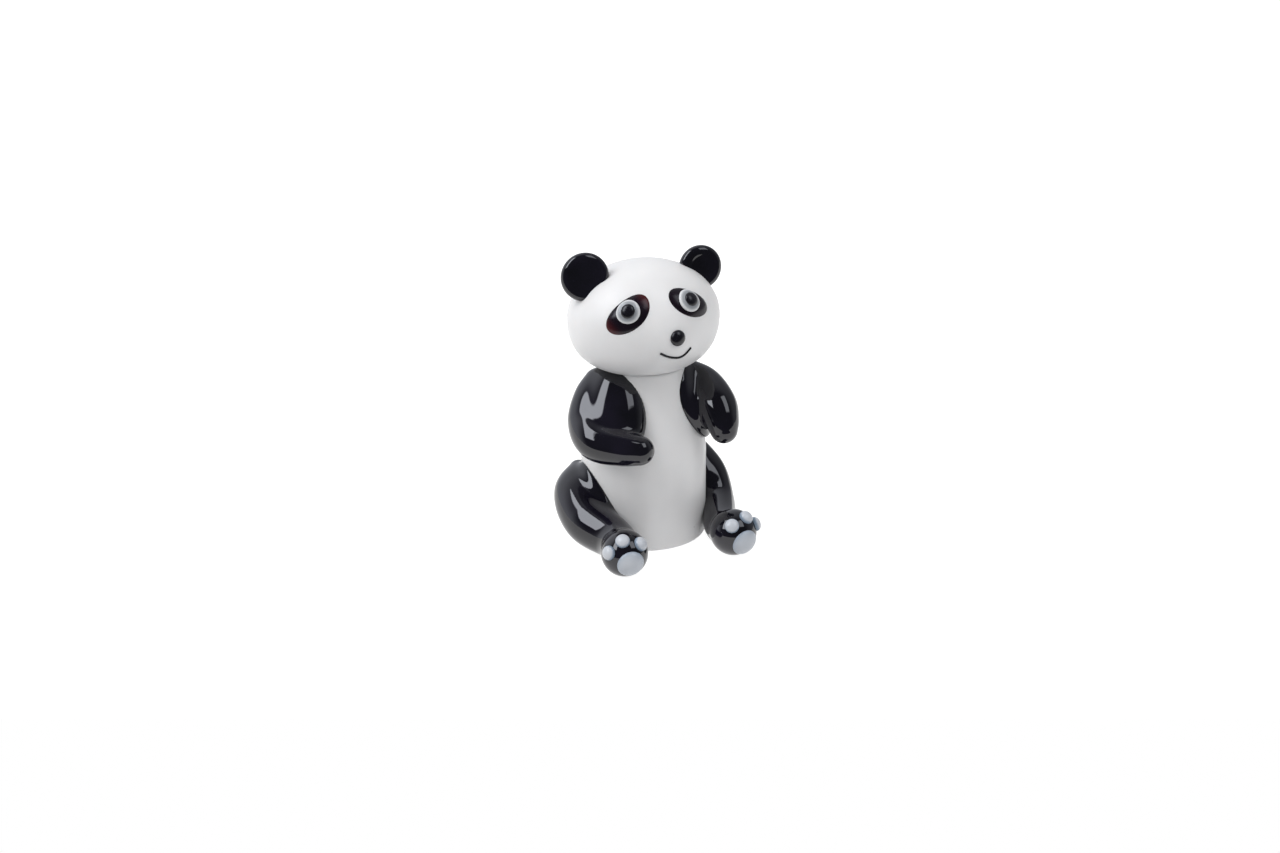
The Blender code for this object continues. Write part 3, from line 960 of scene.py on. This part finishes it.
# Azimuth and elevation are measured from the camera's direction, and wide and high are half tangents. Light
# is the radiance that falls on the glass and shine the one that is mirrored in it.
softboxes = {
    "left": {"azimuth": -50, "elevation": 38, "wide": 0.20, "high": 0.44, "shine": 6.2, "light": 6.2},
    "right": {"azimuth": 46, "elevation": 40, "wide": 0.22, "high": 0.30, "shine": 2.7, "light": 2.7},
}


def viewFrame():
    # the camera's own right, up and backwards directions
    a, e = math.radians(studio["azimuth"]), math.radians(studio["elevation"])
    back = Vector((math.sin(a) * math.cos(e), -math.cos(a) * math.cos(e), math.sin(e)))
    right = Vector((math.cos(a), math.sin(a), 0))
    return right, back.cross(right), back


viewRight, viewUp, viewBack = viewFrame()


def makeTable():
    # a lit opal table, long behind the figurine and short in front
    forward = Vector((viewBack.x, viewBack.y, 0)).normalized()
    wide, front, behind = studio["table"]
    near, far = forward * front, -forward * behind
    side = viewRight * wide
    mesh = bpy.data.meshes.new("light_table")
    corners = [(c.x, c.y, -studio["tableDrop"]) for c in (near - side, near + side, far + side, far - side)]
    mesh.from_pydata(corners, [], [(0, 1, 2, 3)])
    table = bpy.data.objects.new("light_table", mesh)
    bpy.context.scene.collection.objects.link(table)
    material = bpy.data.materials.new("opal acrylic")
    material.use_nodes = True
    tree = material.node_tree
    shader = tree.nodes["Principled BSDF"]
    shader.inputs["Base Color"].default_value = studio["tableColour"]
    shader.inputs["Roughness"].default_value = studio["tableRoughness"]
    shader.inputs["Specular IOR Level"].default_value = 0.0
    shader.inputs["Emission Color"].default_value = (1, 1, 1, 1)
    diffuse = addNode(tree, "ShaderNodeLightPath").outputs["Is Diffuse Ray"]
    glow = mixLevels(tree, diffuse, studio["tableGlow"], studio["tableLight"])
    tree.links.new(glow, shader.inputs["Emission Strength"])
    mesh.materials.append(material)


def boxFrame(box):
    # a softbox's own direction from the figurine, its level side and its upper side
    a, e = math.radians(box["azimuth"]), math.radians(box["elevation"])
    ahead = viewRight * (math.sin(a) * math.cos(e)) + viewBack * (math.cos(a) * math.cos(e))
    way = ahead + viewUp * math.sin(e)
    side = viewUp.cross(way).normalized()
    return way, side, way.cross(side)


def addSoftbox(name):
    # the diffuse light of a softbox; its reflection is drawn in the surroundings, free of noise
    box = softboxes[name]
    way = boxFrame(box)[0]
    distance = studio["boxDistance"]
    light = bpy.data.lights.new(name + "_softbox", "AREA")
    light.shape = "RECTANGLE"
    light.size = 2 * box["wide"] * distance
    light.size_y = 2 * box["high"] * distance
    light.energy = box["light"] * math.pi * light.size * light.size_y  # radiance times pi times the area
    lamp = bpy.data.objects.new(name + "_softbox", light)
    lamp.location = Vector((0, 0, studio["boxAim"])) + way * distance
    lamp.rotation_euler = way.to_track_quat("Z", "Y").to_euler()
    lamp.visible_glossy = False
    lamp.visible_camera = False
    bpy.context.scene.collection.objects.link(lamp)


def makePanel():
    # a rectangle in the surroundings: the direction is carried out to the panel's plane and held against its
    # half sizes
    vectors, floats = ["Direction", "Middle", "Side", "Top"], ["Wide", "High", "Edge"]
    group, given, result = newGroup("softbox panel", vectors, floats, "Mask")

    def along(label):
        return vectorMaths(group, "DOT_PRODUCT", _0=given["Direction"], _1=given[label])["Value"]

    depth = along("Middle")
    mask = maths(group, "GREATER_THAN", depth, studio["panelLeast"])
    for label, size in (("Side", "Wide"), ("Top", "High")):
        off = maths(group, "ABSOLUTE", maths(group, "DIVIDE", along(label), depth), 0.0)
        inside = maths(group, "DIVIDE", maths(group, "SUBTRACT", given[size], off), given["Edge"], True)
        mask = maths(group, "MULTIPLY", mask, inside)
    group.links.new(mask, result)
    return group


def makeWorld():
    # white for the camera; for the gloss white surroundings, dark in front where the photographer stands,
    # and the two softboxes; for everything else an even fill
    world = bpy.data.worlds.new("studio")
    bpy.context.scene.world = world
    world.use_nodes = True
    world.cycles.sampling_method = "NONE"
    tree = world.node_tree
    background = tree.nodes["Background"]
    place = addNode(tree, "ShaderNodeTexCoord").outputs["Generated"]

    def changeover(way, start, end, first=0.0, second=1.0):
        # from the first level to the second as the cosine to a direction goes from start to end
        cosine = vectorMaths(tree, "DOT_PRODUCT", _0=place, _1=tuple(way))["Value"]
        smooth = {"interpolation_type": "SMOOTHSTEP"}
        limits = {"From_Min": start, "From_Max": end, "To_Min": first, "To_Max": second}
        return addNode(tree, "ShaderNodeMapRange", smooth, Value=cosine, **limits).outputs[0]

    turn = studio["surroundTurn"]
    around = changeover(viewRight, -turn, turn, *studio["surround"])
    gloss = mixLevels(tree, changeover(viewBack, *studio["frontCone"]), around, studio["front"])
    panel = makePanel()
    for box in softboxes.values():
        way, side, top = boxFrame(box)
        sizes = {"Wide": box["wide"], "High": box["high"], "Edge": studio["panelEdge"]}
        ways = {"Direction": place, "Middle": tuple(way), "Side": tuple(side), "Top": tuple(top)}
        mask = addNode(tree, "ShaderNodeGroup", {"node_tree": panel}, **ways, **sizes).outputs["Mask"]
        gloss = mixLevels(tree, mask, gloss, box["shine"])
    path = addNode(tree, "ShaderNodeLightPath").outputs
    level = mixLevels(tree, path["Is Glossy Ray"], studio["fill"], gloss)
    level = maths(tree, "MAXIMUM", level, path["Is Camera Ray"])
    tint = mixColours(tree, path["Is Glossy Ray"], (1, 1, 1, 1), studio["glossTint"])
    tree.links.new(level, background.inputs["Strength"])
    tree.links.new(tint, background.inputs["Color"])


def makeCamera():
    lens = bpy.data.cameras.new("camera")
    lens.lens = studio["lens"]
    lens.sensor_width = studio["sensor"]
    camera = bpy.data.objects.new("camera", lens)
    target = Vector((0, 0, studio["target"])) + viewRight * studio["shiftSide"]
    camera.location = target + viewBack * studio["distance"]
    camera.rotation_euler = viewBack.to_track_quat("Z", "Y").to_euler()
    bpy.context.scene.collection.objects.link(camera)
    bpy.context.scene.camera = camera


makeTable()
makeWorld()
for name in softboxes:
    addSoftbox(name)
makeCamera()
bpy.context.scene.view_settings.view_transform = "Standard"
print("studio lit")
